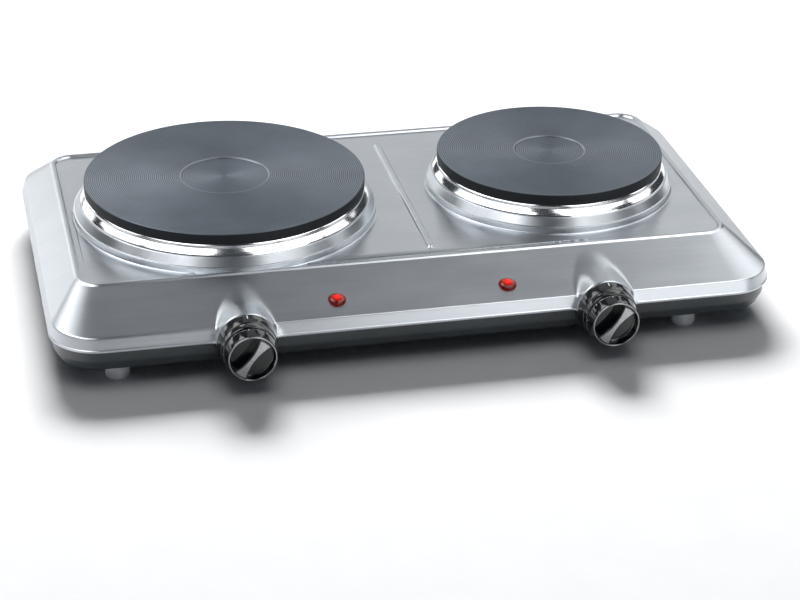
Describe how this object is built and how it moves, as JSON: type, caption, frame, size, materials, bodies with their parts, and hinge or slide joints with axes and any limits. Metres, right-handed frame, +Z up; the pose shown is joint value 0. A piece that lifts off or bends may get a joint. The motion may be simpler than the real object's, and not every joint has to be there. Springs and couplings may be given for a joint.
{
  "type": "hot plate burner",
  "caption": "Low countertop electric cooker: two solid cast plates in raised collars on a brushed steel cover over a black base, with turn knobs and red lamps in front.",
  "frame": {"origin": "on the worktop, under the middle of the overall box, knobs and cable inlet included", "axes": "+X to the right as the user faces the knobs, +Y to the back, +Z up; the knobs point to -Y"},
  "size_m": [0.4734, 0.3068, 0.0718],
  "materials": {
    "brushed_cover": "brushed lengthwise, stainless",
    "black_base": "satin black enamel",
    "plate_iron": "turned in fine rings and heat-blackened",
    "polished_trim": "polished",
    "heater_compound": "pressed, matte",
    "galvanised_steel": "galvanised, dull",
    "plated_steel": "zinc plated",
    "ceramic_white": "unglazed",
    "contact_brass": "bright",
    "knob_black": "high gloss black",
    "bezel_black": "high gloss black",
    "knob_silver": "satin silver foil",
    "lamp_red": "clear red, faceted",
    "lamp_glass": "clear",
    "foot_rubber": "pale grey, matte",
    "gland_black": "moulded",
    "block_white": "moulded",
    "wire_brown": "sleeved",
    "wire_blue": "sleeved",
    "wire_white": "glass braid sleeve"
  },
  "bodies": {
    "housing": {"back_left_foot": "foot_rubber", "back_right_foot": "foot_rubber", "base_pan": "black_base", "base_screws": "plated_steel", "cable_gland": "gland_black", "clamp_bridge_large": "galvanised_steel", "clamp_bridge_small": "galvanised_steel", "cover_posts": "galvanised_steel", "earth_tag": "plated_steel", "floor_nuts": "plated_steel", "foot_screws": "plated_steel", "front_left_foot": "foot_rubber", "front_right_foot": "foot_rubber", "heater_rings_large": "heater_compound", "heater_rings_small": "heater_compound", "lamp_wires": "wire_white", "left_contact_blades": "contact_brass", "left_knob_bezel": "bezel_black", "left_lamp_clip": "plated_steel", "left_lamp_lens": "lamp_red", "left_lamp_tube": "lamp_glass", "left_thermostat_body": "ceramic_white", "left_thermostat_bracket": "galvanised_steel", "live_wires": "wire_brown", "mains_clamp_screws": "plated_steel", "mains_terminal_block": "block_white", "neutral_wires": "wire_blue", "plate_large": "plate_iron", "plate_shield_large": "galvanised_steel", "plate_shield_small": "galvanised_steel", "plate_small": "plate_iron", "plate_stud_large": "plated_steel", "plate_stud_small": "plated_steel", "plate_terminal_block_large": "ceramic_white", "plate_terminal_block_small": "ceramic_white", "plate_terminals_large": "contact_brass", "plate_terminals_small": "contact_brass", "regulator_wires": "wire_white", "right_contact_blades": "contact_brass", "right_knob_bezel": "bezel_black", "right_lamp_clip": "plated_steel", "right_lamp_lens": "lamp_red", "right_lamp_tube": "lamp_glass", "right_thermostat_body": "ceramic_white", "right_thermostat_bracket": "galvanised_steel", "stud_nuts": "plated_steel", "thermostat_neck_nuts": "plated_steel", "thermostat_screws": "plated_steel", "top_cover": "brushed_cover", "trim_ring_large": "polished_trim", "trim_ring_small": "polished_trim"},
    "left_knob_body": {"left_knob": "knob_black", "left_knob_inlay": "knob_silver", "left_knob_rim": "knob_silver", "left_thermostat_shaft": "plated_steel"},
    "right_knob_body": {"right_knob": "knob_black", "right_knob_inlay": "knob_silver", "right_knob_rim": "knob_silver", "right_thermostat_shaft": "plated_steel"}
  },
  "joints": [
    {"name": "left_knob_turn", "type": "hinge", "parent": "housing", "child": "left_knob_body", "pos_m": [-0.1165, -0.1428, 0.0253], "axis": [0, -1, 0], "range_deg": [-232, 38]},
    {"name": "right_knob_turn", "type": "hinge", "parent": "housing", "child": "right_knob_body", "pos_m": [0.1165, -0.1428, 0.0253], "axis": [0, -1, 0], "range_deg": [-232, 38]}
  ]
}
